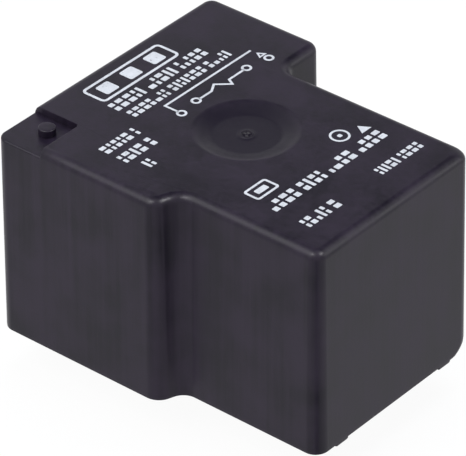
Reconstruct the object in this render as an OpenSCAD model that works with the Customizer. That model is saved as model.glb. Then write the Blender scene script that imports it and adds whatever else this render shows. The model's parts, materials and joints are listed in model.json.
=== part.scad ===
// Sealed power relay for a printed circuit board: one normally open contact pair in a T shaped case.
// The board's surface is z = 0, under the case's small feet, and the pins go down through the board.
// The narrow end of the case points to +X, and the origin is at the middle of the case's footprint.

/* [Case] */
// Length of the case at its rim
case_l = 32.1; // [30:0.1:36]
// Width of the case at its rim, across the wide end
case_w = 27.4; // [26:0.1:32]
// Height of the case from its rim to its top
case_h = 19.5; // [18.5:0.1:24]
// Length of the wide end on the side with the shallow step
shallow_jog_l = 17.7; // [15:0.1:20]
// Depth of the shallow step
shallow_jog_d = 2.46; // [2.4:0.02:3.4]
// Length of the wide end on the side with the deep step
deep_jog_l = 12.6; // [11:0.1:13.2]
// Depth of the deep step
deep_jog_d = 5; // [4:0.1:5.4]
// Draft of the upright walls, in degrees
draft_a = 0.67; // [0.2:0.01:1]
// Thickness of the case's side walls
wall_t = 1.1; // [0.8:0.05:1.3]
// Thickness of the case's top
top_t = 1.2; // [1:0.05:1.6]
// Radius of the upright outside edges
edge_r = 1.3; // [1.1:0.05:1.6]
// Radius in the two inside corners of the steps
jog_r = 1.1; // [0.6:0.05:1.1]
// Radius round the edge of the top
top_r = 0.8; // [0.4:0.05:0.9]

/* [Top details] */
// Diameter of the gate dish in the top
dish_d = 9.2; // [7:0.1:11]
// Diameter of the dish's flat floor
dish_floor_d = 5.4; // [4:0.1:6]
// Depth of the dish
dish_h = 0.55; // [0.3:0.05:0.7]
// Diameter of the gate mark in the dish
gate_d = 1.5; // [1:0.1:2]
// Height of the gate mark
gate_h = 0.12; // [0.05:0.01:0.3]
// Length of the vent corner's recess
notch_l = 5.05; // [4:0.05:6]
// Width of the vent corner's recess
notch_w = 5; // [4:0.05:6]
// Depth of the vent corner's recess
notch_h = 0.7; // [0.4:0.05:0.8]
// Diameter of the vent nib
nib_d = 1.4; // [1:0.1:2]
// Distance of the nib from the case's two outer sides
nib_in = 3.2; // [2.6:0.05:3.6]

/* [Feet and pins] */
// Height of the feet that hold the rim off the board
foot_h = 0.35; // [0.2:0.05:0.6]
// Width of each foot
foot_w = 1.6; // [1:0.1:2.4]
// Distance between the two feet at the narrow end
foot_span = 13.4; // [10:0.1:15]
// Length of the pins below the board's surface
pin_l = 3.5; // [2.5:0.1:4]
// Diameter of the two round coil pins
coil_pin_d = 1; // [0.7:0.05:1]
// Diameter of the coil pins above the resin, where the bobbin holds them
coil_post_d = 1.1; // [1.05:0.05:1.2]
// Diameter of the ring on each coil pin that the sealing resin grips
coil_ring_d = 1.6; // [1.45:0.05:1.8]
// Width of the flat contact pins
blade_pin_w = 2; // [1.5:0.1:2.6]
// Thickness of the strip that both contact terminals are made of
terminal_t = 0.8; // [0.6:0.05:0.9]

/* [Base] */
// Depth of the sealing resin's face inside the rim
seal_in = 0.3; // [0.1:0.05:0.6]
// Thickness of the sealing resin
seal_t = 0.75; // [0.5:0.05:1]
// Thickness of the base plate
base_t = 1.5; // [1.2:0.1:2]
// Thickness of the barrier between coil and contacts
barrier_t = 0.8; // [0.6:0.1:1]
// Width of the barrier
barrier_w = 16; // [12:0.1:18]
// Thickness of the two rails beside the yoke
rail_t = 0.8; // [0.5:0.1:0.9]
// Height of the two rails
rail_h = 1.1; // [0.6:0.1:1.2]

/* [Coil and yoke] */
// Thickness of the yoke
yoke_t = 1.5; // [1.2:0.1:1.8]
// Distance of the yoke's back from the case's narrow end
yoke_in = 4.75; // [4.5:0.05:5.2]
// Clearance between the bobbin's flanges and the case's side walls
flange_room = 1.62; // [1.3:0.01:1.7]
// Space for the barrier between the bobbin and the contacts
coil_gap = 4.2; // [3.6:0.05:4.3]
// Thickness of the flanges
flange_t = 1; // [0.7:0.05:1.2]
// Height by which the flanges stand above the winding
flange_lip = 0.85; // [0.4:0.05:2]
// Share of the winding's diameter that the bobbin's barrel takes
barrel_share = 0.5625; // [0.53:0.0025:0.62]
// Share of it that the iron core takes
core_share = 0.4375; // [0.35:0.0025:0.45]
// Share of it that the core's riveted end takes
spigot_share = 0.3125; // [0.24:0.0025:0.34]
// Share of it that the pole face takes
pole_share = 0.65625; // [0.61:0.00125:0.78]
// Thickness of the pole face
pole_t = 1.1; // [0.8:0.05:1.4]
// Diameter of the lead wires
lead_d = 0.3; // [0.2:0.02:0.4]

/* [Armature and contacts] */
// Angle through which the armature turns, in degrees
swing_a = 3.6; // [3:0.1:4]
// Thickness of the armature
arm_t = 1.3; // [1:0.05:1.5]
// Step between the armature's sides and the yoke's
arm_step = 0.25; // [0:0.05:0.9]
// Distance of the armature's free end from the edge of the bobbin's flange
arm_in = 1.65; // [1.3:0.05:2.6]
// Thickness of the contact blade
spring_t = 0.25; // [0.15:0.01:0.3]
// Width of the contact blade on the armature
spring_w = 8; // [7:0.1:9]
// Width of the contact blade at its tip
tip_w = 4.8; // [4.4:0.1:5.4]
// Distance of the contacts from the case's wide end
contact_in = 4.55; // [4.3:0.05:5]
// Diameter of the contact buttons
button_d = 4; // [3.2:0.1:4.3]
// Thickness of the contact buttons
button_t = 0.9; // [0.6:0.05:1]
// Thickness of the hinge leaf
leaf_t = 0.2; // [0.12:0.01:0.25]
// Width of the hinge leaf
leaf_w = 7; // [6.4:0.1:8]
// Thickness of the backstop
stop_t = 0.6; // [0.4:0.05:0.8]
// Width of the backstop
stop_w = 4; // [3:0.1:5]

/* [Hidden] */

// Fineness of round shapes, of the case's corners and of bends
$fn = 48;
corner_steps = 8;
fillet_steps = 6;
bend_steps = 8;
wire_fn = 16;

// Clearances and overruns
fit_gap = 0.04;
hinge_gap = 0.06;
touch_gap = 0.05;
roof_gap = 0.45;
side_gap = 0.8;
flange_gap = 0.1;
over = 1;

// Small sizes inside the case
ceiling_r = 0.4;
inner_edge_r = 0.25;
step_flat = 0.05;
rivet_r = 0.7;
rivet_head_r = 1.2;
rivet_head_t = 0.5;
rivet_space = 3;
yoke_rivet_up = 4;
arm_rivet_in = 5;
shank_r = 1.1;
button_head_r = 1.5;
button_head_t = 0.35;
button_edge = 0.2;
com_w = 5;
no_w = 5;
no_arm_past = 2.5;
blade_back_in = 2.4;
blade_neck_in = 16;
no_bend_r = 1;
stop_bend_r = 0.9;
stop_tongue = 1;
stop_past = 2.2;
leaf_down = 8.6;
leaf_loop_r = 1.3;
leaf_return_a = 35;
leaf_return_l = 0.6;
post_h = 1.6;
collar_t = 0.35;
yoke_pin_gap = 0.3;
yoke_foot_in = 1.65;
collar_h = 0.5;
ear_cut = 0.5;
flange_cut = 3;
pole_cut = 0.15;
arm_cut = 1.2;
pin_tip = 0.5;
buttress_l = 2.4;
foot_in = 0.1;
wide_foot_span = 18;
gate_ring_t = 0.3;
nib_round = 0.2;

// Lines of the T shaped plan
stem_low_y = -case_w / 2 + shallow_jog_d;
stem_high_y = case_w / 2 - deep_jog_d;
shallow_jog_x = -case_l / 2 + shallow_jog_l;
deep_jog_x = -case_l / 2 + deep_jog_l;
mid_y = (stem_low_y + stem_high_y) / 2;
dish_y = mid_y / 2;
hub_x = (deep_jog_x - case_l / 2) / 2;

// Heights of the case and of what closes it from below
rim_z = foot_h;
top_z = rim_z + case_h;
ceiling_z = top_z - top_t;
seal_z = rim_z + seal_in;
base_z = seal_z + seal_t;
floor_z = base_z + base_t;

// Places along the case, where the bobbin's flanges fill what the yoke, the contacts and the barrier leave
yoke_x = case_l / 2 - yoke_in;
contact_x = -case_l / 2 + contact_in;
flange_l = yoke_x - yoke_t - flange_gap - contact_x - no_w / 2 - coil_gap;
coil_x = yoke_x - yoke_t - flange_gap - flange_l / 2;
coil_pin_x = coil_x - flange_l / 2 + coil_post_d / 2 + collar_t;
com_x = yoke_x + leaf_t + terminal_t / 2;
no_x = contact_x - no_arm_past;
yoke_bend_r = yoke_t / 2 + flange_gap;
blade_back_x = yoke_x - blade_back_in;
blade_neck_x = yoke_x - blade_neck_in;

// Heights of the mechanism, worked out from the ceiling down: the contact's riveted end
// touches the backstop with the edge that is farthest from the hinge
stop_z = ceiling_z - roof_gap - stop_t;
stack_l = yoke_x - contact_x + button_head_r - button_edge;
stack_h = arm_t + spring_t + button_head_t;
hinge_z = stop_z - touch_gap - stack_l * sin(swing_a) - stack_h * cos(swing_a);
pole_z = hinge_z - hinge_gap;
flange_top_z = pole_z - pole_t;
flange_low_z = floor_z + yoke_t;
blade_z = hinge_z + arm_t;
fixed_z = blade_z - button_t - touch_gap;
no_z = fixed_z - button_t;
com_top_z = pole_z - yoke_rivet_up + rivet_head_r + rivet_head_t;

// Widths and places across the case, where the coil pins stand in the flange's corners
flange_w = stem_high_y - stem_low_y - wall_t - wall_t - flange_room - flange_room;
winding_d = min(flange_l, flange_w) - flange_lip - flange_lip;
barrel_d = winding_d * barrel_share;
core_d = winding_d * core_share;
spigot_d = winding_d * spigot_share;
pole_d = winding_d * pole_share;
coil_pin_span = flange_w - coil_post_d - collar_t - collar_t;
yoke_w = coil_pin_span - coil_post_d - yoke_pin_gap - yoke_pin_gap;
arm_w = yoke_w - arm_step - arm_step;
stop_y = mid_y + tip_w / 2 + side_gap + stop_t / 2;
barrier_x = (coil_x - flange_l / 2 + contact_x + no_w / 2) / 2;
barrier_top_z = no_z;

// Inset of the case's outer face at a height, from the draft
function drawn(z) = (z - rim_z) * tan(draft_a);
function unit(v) = v / norm(v);

// Corners of the T, moved inwards by i and taken anticlockwise
function plan(i) = [
    [-case_l / 2 + i, -case_w / 2 + i],
    [shallow_jog_x - i, -case_w / 2 + i],
    [shallow_jog_x - i, stem_low_y + i],
    [case_l / 2 - i, stem_low_y + i],
    [case_l / 2 - i, stem_high_y - i],
    [deep_jog_x - i, stem_high_y - i],
    [deep_jog_x - i, case_w / 2 - i],
    [-case_l / 2 + i, case_w / 2 - i]
];

// The plan with its corners rounded: inside corners grow wider as the outline moves in, as far as
// the step's own depth leaves room beside the outside corner
function ring(i) = let (p = plan(i), n = len(p), outer_r = max(edge_r - i, inner_edge_r)) [
    for (k = [0 : n - 1])
        let (back = p[k] - p[(k + n - 1) % n], ahead = p[(k + 1) % n] - p[k])
        let (come = unit(back), go = unit(ahead), inside = come.x * go.y - come.y * go.x < 0)
        let (room = min(norm(back), norm(ahead)) - outer_r - step_flat)
        let (r = inside ? min(jog_r + i, room) : outer_r)
        let (c = p[k] - r * come + r * go)
        for (s = [0 : corner_steps])
            c + r * (sin(90 * s / corner_steps) * come - cos(90 * s / corner_steps) * go)
];

// A solid with the T plan, from a list of levels that are each a height and an inset.
// Each end is a fan round a point of the wide end from which the whole outline is in sight.
module loft(levels) {
    rings = [for (l = levels) [for (p = ring(l[1])) [p.x, p.y, l[0]]]];
    n = len(rings[0]);
    m = len(rings);
    sides = [
        for (k = [0 : m - 2], s = [0 : n - 1])
            [k * n + s, (k + 1) * n + s, (k + 1) * n + (s + 1) % n, k * n + (s + 1) % n]
    ];
    low = [for (s = [0 : n - 1]) [s, (s + 1) % n, m * n]];
    high = [for (s = [0 : n - 1]) [m * n - s - 1, m * n - 1 - (s + 1) % n, m * n + 1]];
    caps = [[hub_x, mid_y, levels[0][0]], [hub_x, mid_y, levels[m - 1][0]]];
    polyhedron(concat([for (r = rings) each r], caps), concat(sides, low, high));
}

// Levels of a drafted block with a rounded upper edge, inset from the case's outer face
function levels(z0, z1, inset, r) = concat(
    [[z0, inset + drawn(z0)]],
    [
        for (s = [0 : fillet_steps])
            let (a = 90 * s / fillet_steps)
            [z1 - r + r * sin(a), inset + drawn(z1 - r) + r * (1 - cos(a))]
    ]
);

// Centre line of a bent strip as [x, y, heading]; each move is [straight length, turn, bend radius]
function walk(moves, p, a, k = 0) =
    k == len(moves) ? [[p.x, p.y, a]] :
    let (turn = moves[k][1], r = moves[k][2] * sign(turn))
    let (q = p + moves[k][0] * [cos(a), sin(a)], b = a + turn)
    let (c = q + r * [-sin(a), cos(a)])
    concat(
        [[p.x, p.y, a]],
        turn == 0 ? [] : [
            for (s = [0 : bend_steps - 1])
                let (h = a + turn * s / bend_steps)
                [c.x + r * sin(h), c.y - r * cos(h), h]
        ],
        walk(moves, turn == 0 ? q : c + r * [sin(b), -cos(b)], b, k + 1)
    );

// Flat shape of that strip seen along its width
module strip_profile(moves, p, a, t) {
    line = walk(moves, p, a);
    n = len(line);
    polygon([
        for (s = line) [s.x - t / 2 * sin(s[2]), s.y + t / 2 * cos(s[2])],
        for (k = [1 : n]) let (s = line[n - k]) [s.x + t / 2 * sin(s[2]), s.y - t / 2 * cos(s[2])]
    ]);
}

// A strip bent in the plane along the case, centred on the mechanism
module strip(moves, p, a, t, w)
    translate([0, mid_y, 0])
        rotate([90, 0, 0])
            linear_extrude(w, center = true)
                strip_profile(moves, p, a, t);

// Outline of a flange with its four corners cut, which may differ between the two ends
function flange(cut_low, cut_high) = let (l = flange_l / 2, w = flange_w / 2) [
    [-l + cut_low, -w], [l - cut_high, -w], [l, -w + cut_high], [l, w - cut_high],
    [l - cut_high, w], [-l + cut_low, w], [-l, w - cut_low], [-l, -w + cut_low]
];

// A round piece along X, from its inner end to its outer end
module pin_x(x0, x1, y, z, r)
    translate([x0, y, z])
        rotate([0, 90, 0])
            cylinder(x1 - x0, r, r);

// Lower corner of the rail on one side of the yoke
function rail_y(side) = mid_y + side * (yoke_w + fit_gap + fit_gap + rail_t) / 2 - rail_t / 2;

// Places of the repeated pieces
rivet_ys = [mid_y - rivet_space / 2, mid_y + rivet_space / 2];
coil_pin_ys = [mid_y - coil_pin_span / 2, mid_y + coil_pin_span / 2];

// Carries the moving pieces from the closed place to the open one
module opened()
    translate([yoke_x, 0, hinge_z])
        rotate([0, swing_a, 0])
            translate([-yoke_x, 0, -hinge_z])
                children();

// Moulded T shaped case with a gate dish, a vent corner and four feet
module cover()
    color("#3a3941") {
        difference() {
            union() {
                difference() {
                    loft(levels(rim_z, top_z, 0, top_r));
                    loft(levels(rim_z - over, ceiling_z, wall_t, ceiling_r));
                }
                translate([0, dish_y, ceiling_z - dish_h])
                    cylinder(top_t, dish_d / 2, dish_d / 2);
            }
            translate([0, dish_y, top_z])
                dish_cut();
            translate([-case_l / 2 - over, -case_w / 2 - over, top_z - notch_h])
                cube([notch_l + over, notch_w + over, notch_h + over]);
        }
        translate([0, dish_y, top_z - dish_h])
            gate_mark();
        translate([-case_l / 2 + nib_in, -case_w / 2 + nib_in, top_z - notch_h])
            nib();
        feet();
    }

// Shallow dish with a flat floor and an S shaped wall
module dish_cut() {
    floor_r = dish_floor_d / 2;
    run = dish_d / 2 - floor_r;
    rotate_extrude()
        polygon(concat(
            [[0, over], [0, -dish_h]],
            [
                for (s = [0 : bend_steps])
                    [floor_r + run * s / bend_steps, -dish_h * (1 + cos(180 * s / bend_steps)) / 2]
            ],
            [[dish_d / 2, over]]
        ));
}

// Low ring left where the moulding gate broke off
module gate_mark()
    difference() {
        translate([0, 0, -gate_h])
            cylinder(gate_h + gate_h, gate_d / 2, gate_d / 2 - gate_h);
        cylinder(over, gate_d / 2 - gate_ring_t, gate_d / 2 - gate_ring_t);
    }

// Round vent nib, as high as the top face
module nib()
    rotate_extrude()
        polygon([
            [0, -nib_round], [nib_d / 2, -nib_round], [nib_d / 2, notch_h - nib_round],
            [nib_d / 2 - nib_round, notch_h], [0, notch_h]
        ]);

// Feet under the rim, two at each end
module feet() {
    places = [
        for (side = [-1, 1]) [case_l / 2 - wall_t, mid_y + side * foot_span / 2],
        for (side = [-1, 1]) [-case_l / 2 + foot_in, mid_y + side * wide_foot_span / 2]
    ];
    for (p = places)
        translate([p.x, p.y - foot_w / 2, 0])
            cube([wall_t - foot_in, foot_w, rim_z + foot_in]);
}

// Base plate with the barrier, the yoke's rails and a way through for every pin
module base()
    color("#26262a")
        difference() {
            union() {
                translate([0, 0, base_z])
                    linear_extrude(base_t)
                        polygon(ring(wall_t + drawn(floor_z) + fit_gap));
                barrier();
                for (side = [-1, 1])
                    translate([coil_x - core_d / 2, rail_y(side), floor_z - fit_gap])
                        cube([flange_l / 2, rail_t, rail_h]);
            }
            terminal_ways(fit_gap, coil_post_d);
            stop_way();
        }

// Upright wall between the coil and the contacts, with a buttress at each end
module barrier() {
    translate([barrier_x - barrier_t / 2, mid_y - barrier_w / 2, base_z])
        cube([barrier_t, barrier_w, barrier_top_z - base_z]);
    for (side = [-1, 1])
        translate([barrier_x, mid_y + side * (barrier_w - barrier_t) / 2 + barrier_t / 2, floor_z - fit_gap])
            rotate([90, 0, 0])
                linear_extrude(barrier_t)
                    polygon([[0, 0], [-buttress_l, 0], [0, barrier_top_z - floor_z]]);
}

// Slots and holes for the four pins through the base and the seal
module terminal_ways(gap, round_d) {
    for (x = [com_x, no_x])
        translate([x - terminal_t / 2 - gap, mid_y - blade_pin_w / 2 - gap, rim_z])
            cube([terminal_t + gap + gap, blade_pin_w + gap + gap, floor_z]);
    for (y = coil_pin_ys)
        translate([coil_pin_x, y, rim_z])
            cylinder(floor_z, round_d / 2 + gap, round_d / 2 + gap);
}

// Blind slot that holds the backstop's tongue
module stop_way()
    translate([contact_x - stop_w / 2 - fit_gap, stop_y - stop_t / 2 - fit_gap, floor_z - stop_tongue])
        cube([stop_w + fit_gap + fit_gap, stop_t + fit_gap + fit_gap, over + stop_tongue]);

// Resin that closes the case under the base
module seal()
    color("#202024")
        difference() {
            translate([0, 0, seal_z])
                linear_extrude(seal_t)
                    polygon(ring(wall_t + drawn(base_z)));
            terminal_ways(0, coil_ring_d);
        }

// Coil former: barrel, two flanges and a collar round each coil pin
module bobbin()
    color("#d8d4c4")
        difference() {
            union() {
                translate([coil_x, mid_y, flange_low_z])
                    cylinder(flange_top_z - flange_low_z, barrel_d / 2, barrel_d / 2);
                translate([coil_x, mid_y, flange_low_z])
                    linear_extrude(flange_t)
                        polygon(flange(ear_cut, flange_cut));
                translate([coil_x, mid_y, flange_top_z - flange_t])
                    linear_extrude(flange_t)
                        polygon(flange(flange_cut, flange_cut));
                for (y = coil_pin_ys)
                    translate([coil_pin_x, y, flange_low_z])
                        cylinder(flange_t + collar_h, coil_post_d / 2 + collar_t, coil_post_d / 2 + collar_t);
            }
            translate([coil_x, mid_y, flange_low_z - over])
                cylinder(pole_z, core_d / 2 + fit_gap, core_d / 2 + fit_gap);
            for (y = coil_pin_ys)
                translate([coil_pin_x, y, flange_low_z - over])
                    cylinder(over + flange_t + post_h, coil_post_d / 2 + fit_gap, coil_post_d / 2 + fit_gap);
        }

// Copper winding between the flanges
module winding()
    color("#b5642f")
        translate([coil_x, mid_y, flange_low_z + flange_t])
            difference() {
                cylinder(flange_top_z - flange_low_z - flange_t - flange_t, winding_d / 2, winding_d / 2);
                translate([0, 0, -over])
                    cylinder(flange_top_z, barrel_d / 2, barrel_d / 2);
            }

// Iron core: riveted end, shaft and pole face in one turned piece
module core()
    color("#9a9a98")
        translate([coil_x, mid_y, 0])
            rotate_extrude()
                polygon([
                    [0, floor_z], [spigot_d / 2, floor_z], [spigot_d / 2, flange_low_z],
                    [core_d / 2, flange_low_z], [core_d / 2, flange_top_z], [pole_d / 2, flange_top_z],
                    [pole_d / 2, pole_z - pole_cut], [pole_d / 2 - pole_cut, pole_z], [0, pole_z]
                ]);

// L shaped iron yoke under and behind the coil
module yoke()
    color("#8e8f90")
        difference() {
            foot_x = coil_x - flange_l / 2 + yoke_foot_in;
            strip([
                [yoke_x - yoke_t / 2 - yoke_bend_r - foot_x, 90, yoke_bend_r],
                [pole_z - floor_z - yoke_t / 2 - yoke_bend_r, 0, 0]
            ], [foot_x, floor_z + yoke_t / 2], 0, yoke_t, yoke_w);
            translate([coil_x, mid_y, floor_z - over])
                cylinder(yoke_t + over + over, spigot_d / 2 + fit_gap, spigot_d / 2 + fit_gap);
            for (y = rivet_ys)
                pin_x(yoke_x - yoke_t - over, yoke_x + over, y, pole_z - yoke_rivet_up, rivet_r + fit_gap);
        }

// Flat pin with a cut tip, hanging from the base plate's upper face
module blade_pin(x)
    translate([x, mid_y, 0])
        rotate([90, 0, 90])
            linear_extrude(terminal_t, center = true)
                polygon([
                    [-blade_pin_w / 2, floor_z], [-blade_pin_w / 2, -pin_l + pin_tip],
                    [-blade_pin_w / 2 + pin_tip, -pin_l], [blade_pin_w / 2 - pin_tip, -pin_l],
                    [blade_pin_w / 2, -pin_l + pin_tip], [blade_pin_w / 2, floor_z]
                ]);

// Common terminal, riveted to the back of the yoke over the hinge leaf
module com_terminal()
    color("#c98a55")
        difference() {
            union() {
                translate([com_x - terminal_t / 2, mid_y - com_w / 2, floor_z])
                    cube([terminal_t, com_w, com_top_z - floor_z]);
                blade_pin(com_x);
            }
            for (y = rivet_ys)
                pin_x(yoke_x - over, com_x + over, y, pole_z - yoke_rivet_up, rivet_r + fit_gap);
        }

// Normally open terminal: a pin, an upright and an arm that holds the fixed contact
module no_terminal()
    color("#c98a55")
        difference() {
            union() {
                strip([
                    [contact_x - no_x + no_w / 2 - no_bend_r, 90, no_bend_r],
                    [no_z - terminal_t / 2 - no_bend_r - floor_z, 0, 0]
                ], [contact_x + no_w / 2, no_z - terminal_t / 2], 180, terminal_t, no_w);
                blade_pin(no_x);
            }
            translate([contact_x, mid_y, no_z - over - terminal_t])
                cylinder(over + over + terminal_t, shank_r + fit_gap, shank_r + fit_gap);
        }

// A contact rivet standing on z = 0 with its face down: face, shank through a sheet, riveted end
module contact_rivet(sheet_t)
    rotate_extrude()
        polygon([
            [0, -button_t], [button_d / 2 - button_edge, -button_t], [button_d / 2, -button_t + button_edge],
            [button_d / 2, 0], [shank_r, 0], [shank_r, sheet_t], [button_head_r, sheet_t],
            [button_head_r, sheet_t + button_head_t - button_edge],
            [button_head_r - button_edge, sheet_t + button_head_t], [0, sheet_t + button_head_t]
        ]);

// Fixed silver contact in the arm of its terminal
module fixed_contact()
    color("#cfcfcb")
        translate([contact_x, mid_y, no_z])
            mirror([0, 0, 1])
                contact_rivet(terminal_t);

// Bracket that stops the blade's tip when the relay is open
module backstop()
    color("#a9a9a4")
        translate([contact_x, 0, 0])
            rotate([90, 0, 90])
                linear_extrude(stop_w, center = true)
                    strip_profile([
                        [stop_z + stop_t / 2 - stop_bend_r - floor_z + stop_tongue, 90, stop_bend_r],
                        [stop_y - stop_bend_r - mid_y + stop_past, 0, 0]
                    ], [stop_y, floor_z - stop_tongue], 90, stop_t);

// Round coil pin with a turned tip, a ring inside the resin and a thicker upper part that the lead is wrapped on
module coil_pin(y)
    color("#c9c7bf")
        translate([coil_pin_x, y, 0]) {
            r = coil_pin_d / 2;
            translate([0, 0, base_z])
                cylinder(flange_low_z + flange_t + post_h - base_z, coil_post_d / 2, coil_post_d / 2);
            translate([0, 0, seal_z])
                cylinder(seal_t, coil_ring_d / 2, coil_ring_d / 2);
            translate([0, 0, -pin_l + r])
                cylinder(pin_l - r + seal_z, r, r);
            translate([0, 0, -pin_l])
                cylinder(r, r / 2, r);
        }

module coil_pin_1() coil_pin(coil_pin_ys[0]);

module coil_pin_2() coil_pin(coil_pin_ys[1]);

// Lead wire: a turn round the pin's post and a straight run to the winding
module coil_lead(y)
    color("#b5642f") {
        away = [coil_x - coil_pin_x, mid_y - y];
        wrap_r = (coil_post_d + lead_d) / 2 + fit_gap;
        translate([coil_pin_x, y, flange_low_z + flange_t + collar_h + lead_d]) {
            rotate_extrude()
                translate([wrap_r, 0])
                    circle(lead_d / 2, $fn = wire_fn);
            rotate([0, 90, atan2(away.y, away.x)])
                translate([0, 0, wrap_r])
                    cylinder(norm(away) - winding_d / 2 - wrap_r, lead_d / 2, lead_d / 2, $fn = wire_fn);
        }
    }

module coil_lead_1() coil_lead(coil_pin_ys[0]);

module coil_lead_2() coil_lead(coil_pin_ys[1]);

// Two rivets through the yoke, the hinge leaf and the common terminal
module yoke_rivets()
    color("#b9b6ae")
        for (y = rivet_ys) {
            outer_x = com_x + terminal_t / 2;
            pin_x(yoke_x - yoke_t, outer_x + rivet_head_t, y, pole_z - yoke_rivet_up, rivet_r);
            pin_x(outer_x, outer_x + rivet_head_t, y, pole_z - yoke_rivet_up, rivet_head_r);
        }

// Hinge leaf: flat on the armature, looped round the hinge and flat down the yoke's back
module hinge_leaf()
    color("#c08a4a")
        difference() {
            leaf_up = arm_t + spring_t + hinge_gap + leaf_t / 2;
            drop_a = 90 + leaf_return_a;
            out_x = leaf_loop_r * (sin(drop_a) - sin(swing_a));
            back_x = leaf_loop_r * (1 - sin(drop_a)) + leaf_return_l * sin(leaf_return_a);
            start_x = yoke_x + leaf_t / 2 - out_x + back_x;
            flap_l = arm_rivet_in + rivet_head_r + start_x - yoke_x;
            flap_z = hinge_z + leaf_up / cos(swing_a) + (yoke_x - start_x) * tan(swing_a);
            strip([
                [flap_l, swing_a - drop_a, leaf_loop_r],
                [leaf_return_l, leaf_return_a, leaf_loop_r],
                [leaf_down - leaf_loop_r - leaf_loop_r, 0, 0]
            ], [start_x, flap_z] - flap_l * [cos(swing_a), -sin(swing_a)], -swing_a, leaf_t, leaf_w);
            for (y = rivet_ys)
                pin_x(yoke_x - over, com_x + over, y, pole_z - yoke_rivet_up, rivet_r + fit_gap);
            opened()
                for (y = rivet_ys)
                    translate([yoke_x - arm_rivet_in, y, hinge_z])
                        cylinder(arm_t + over + over, rivet_r + hinge_gap, rivet_r + hinge_gap);
        }

// Soft iron armature, drawn open
module armature()
    color("#8e8f90")
        opened()
            difference() {
                arm_l = yoke_x - coil_x + flange_l / 2 - arm_in;
                translate([yoke_x - arm_l, mid_y, hinge_z])
                    linear_extrude(arm_t)
                        polygon([
                            [0, -arm_w / 2 + arm_cut], [arm_cut, -arm_w / 2], [arm_l, -arm_w / 2],
                            [arm_l, arm_w / 2], [arm_cut, arm_w / 2], [0, arm_w / 2 - arm_cut]
                        ]);
                arm_rivet_ways();
            }

// Holes for the armature's rivets
module arm_rivet_ways()
    for (y = rivet_ys)
        translate([yoke_x - arm_rivet_in, y, hinge_z - over])
            cylinder(arm_t + over + over, rivet_r + fit_gap, rivet_r + fit_gap);

// Springy blade on top of the armature, narrowed towards its round tip
module contact_blade()
    color("#c08a4a")
        opened()
            difference() {
                translate([0, mid_y, blade_z])
                    linear_extrude(spring_t)
                        union() {
                            polygon([
                                [blade_back_x, -spring_w / 2], [blade_back_x, spring_w / 2],
                                [blade_neck_x, spring_w / 2], [contact_x, tip_w / 2],
                                [contact_x, -tip_w / 2], [blade_neck_x, -spring_w / 2]
                            ]);
                            translate([contact_x, 0])
                                circle(tip_w / 2);
                        }
                arm_rivet_ways();
                translate([contact_x, mid_y, hinge_z])
                    cylinder(arm_t + over, shank_r + fit_gap, shank_r + fit_gap);
            }

// Moving silver contact in the tip of the blade
module moving_contact()
    color("#cfcfcb")
        opened()
            translate([contact_x, mid_y, blade_z])
                contact_rivet(spring_t);

// Two rivets through the armature, the blade and the hinge leaf
module armature_rivets()
    color("#b9b6ae")
        opened()
            for (y = rivet_ys)
                translate([yoke_x - arm_rivet_in, y, hinge_z]) {
                    head_z = arm_t + spring_t + hinge_gap + leaf_t + hinge_gap;
                    cylinder(head_z + rivet_head_t, rivet_r, rivet_r);
                    translate([0, 0, head_z])
                        cylinder(rivet_head_t, rivet_head_r, rivet_head_r);
                }

cover();
base();
seal();
bobbin();
winding();
core();
yoke();
com_terminal();
no_terminal();
fixed_contact();
backstop();
coil_pin_1();
coil_pin_2();
coil_lead_1();
coil_lead_2();
yoke_rivets();
hinge_leaf();
armature();
contact_blade();
moving_contact();
armature_rivets();
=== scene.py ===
# %% [markdown]
# # A sealed relay for a circuit board
#
# The real object is a black moulded case with a T shaped plan, closed from below with resin. Inside it a coil
# pulls an iron armature that closes one pair of contacts. The construction comes from the CAD model, which is
# loaded here as a fixed frame: a piece of it is either shown with a better finish, or replaced by a finer
# surface of the same form. Lengths below are written in millimetres, and go into the meshes in metres.

# %% Frame
import json
import math

import bmesh
import bpy
import numpy as np
from mathutils import Matrix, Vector
from mathutils.geometry import tessellate_polygon


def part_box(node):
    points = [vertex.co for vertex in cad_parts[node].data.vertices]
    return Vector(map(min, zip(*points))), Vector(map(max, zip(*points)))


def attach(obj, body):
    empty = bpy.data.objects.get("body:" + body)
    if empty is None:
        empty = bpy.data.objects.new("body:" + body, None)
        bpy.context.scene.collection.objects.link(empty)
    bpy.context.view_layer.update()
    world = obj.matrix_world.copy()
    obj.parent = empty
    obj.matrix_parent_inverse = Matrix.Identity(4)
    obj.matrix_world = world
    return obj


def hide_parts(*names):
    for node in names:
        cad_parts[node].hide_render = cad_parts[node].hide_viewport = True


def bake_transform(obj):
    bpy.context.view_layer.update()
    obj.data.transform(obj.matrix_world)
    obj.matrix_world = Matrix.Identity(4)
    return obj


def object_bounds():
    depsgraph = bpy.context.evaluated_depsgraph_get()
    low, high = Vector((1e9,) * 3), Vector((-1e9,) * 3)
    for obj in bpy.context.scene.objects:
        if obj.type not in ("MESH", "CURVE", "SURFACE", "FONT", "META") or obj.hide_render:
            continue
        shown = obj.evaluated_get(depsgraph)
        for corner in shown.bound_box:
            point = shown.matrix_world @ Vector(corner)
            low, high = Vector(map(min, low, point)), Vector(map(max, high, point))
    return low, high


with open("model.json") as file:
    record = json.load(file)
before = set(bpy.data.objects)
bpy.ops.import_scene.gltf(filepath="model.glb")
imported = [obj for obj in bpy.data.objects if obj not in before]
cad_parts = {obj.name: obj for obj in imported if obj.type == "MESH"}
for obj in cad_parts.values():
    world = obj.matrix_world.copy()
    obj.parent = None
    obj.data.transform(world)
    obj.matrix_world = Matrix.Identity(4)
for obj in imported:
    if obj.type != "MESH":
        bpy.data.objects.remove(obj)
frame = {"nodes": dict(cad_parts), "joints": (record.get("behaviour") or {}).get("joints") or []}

MM = 0.001
cad_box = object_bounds()
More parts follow.
